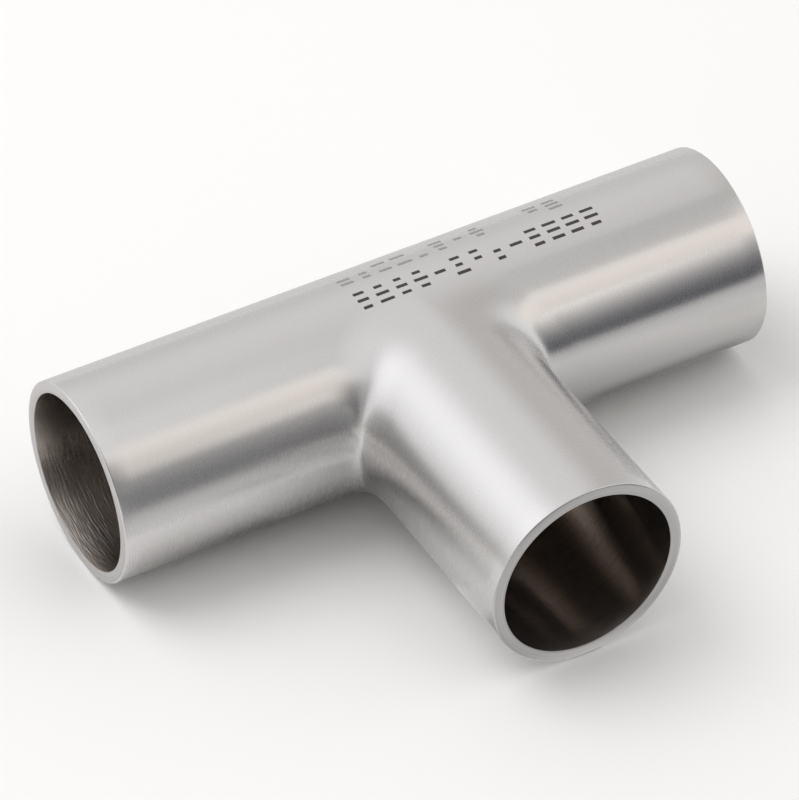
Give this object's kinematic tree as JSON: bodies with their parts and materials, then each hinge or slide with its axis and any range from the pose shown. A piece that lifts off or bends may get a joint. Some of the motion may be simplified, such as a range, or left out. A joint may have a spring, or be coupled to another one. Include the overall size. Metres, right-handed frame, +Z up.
{
  "type": "short weld tee",
  "caption": "One-piece stainless butt-weld tee: a straight tubular run with a short branch of the same bore drawn from its middle at right angles.",
  "frame": {"origin": "where the run's axis and the branch's axis cross, at the middle of the run", "axes": "+X along the run, -Y along the branch towards its open end, +Z up off the surface that the tee lies on"},
  "size_m": [0.088, 0.0567, 0.0254],
  "materials": {
    "stainless": "satin"
  },
  "bodies": {
    "root": {"weld_tee": "stainless"}
  },
  "joints": []
}
